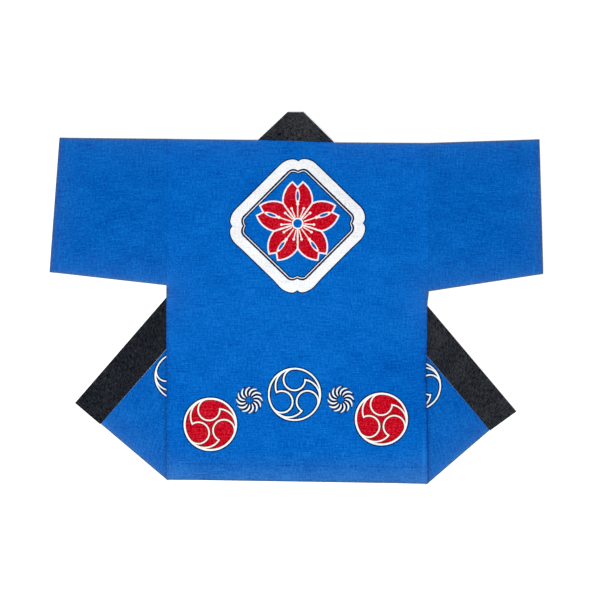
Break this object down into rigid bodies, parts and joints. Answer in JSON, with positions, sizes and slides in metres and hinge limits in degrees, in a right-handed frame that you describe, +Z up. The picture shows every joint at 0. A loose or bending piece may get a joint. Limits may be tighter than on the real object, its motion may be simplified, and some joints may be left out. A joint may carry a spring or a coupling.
{
  "type": "happi coat laid flat",
  "caption": "Short wide-sleeved festival coat laid flat, back up, its fronts turned out to the sides, with a black collar band.",
  "frame": {"origin": "on the surface that the coat lies on, under the middle of its outline", "axes": "+X towards the right sleeve as seen from above, +Y from the hem to the neck, +Z up, away from the surface"},
  "size_m": [1.1844, 0.8932, 0.007],
  "materials": {
    "blue_cotton": "matt plain-woven cotton, dyed bright blue and printed in white and red",
    "black_cotton": "matt plain-woven cotton, dyed black"
  },
  "bodies": {
    "root": {"back": "blue_cotton", "front_left": "blue_cotton", "front_right": "blue_cotton", "sleeve_left": "blue_cotton", "sleeve_right": "blue_cotton", "collar": "black_cotton"}
  },
  "joints": []
}
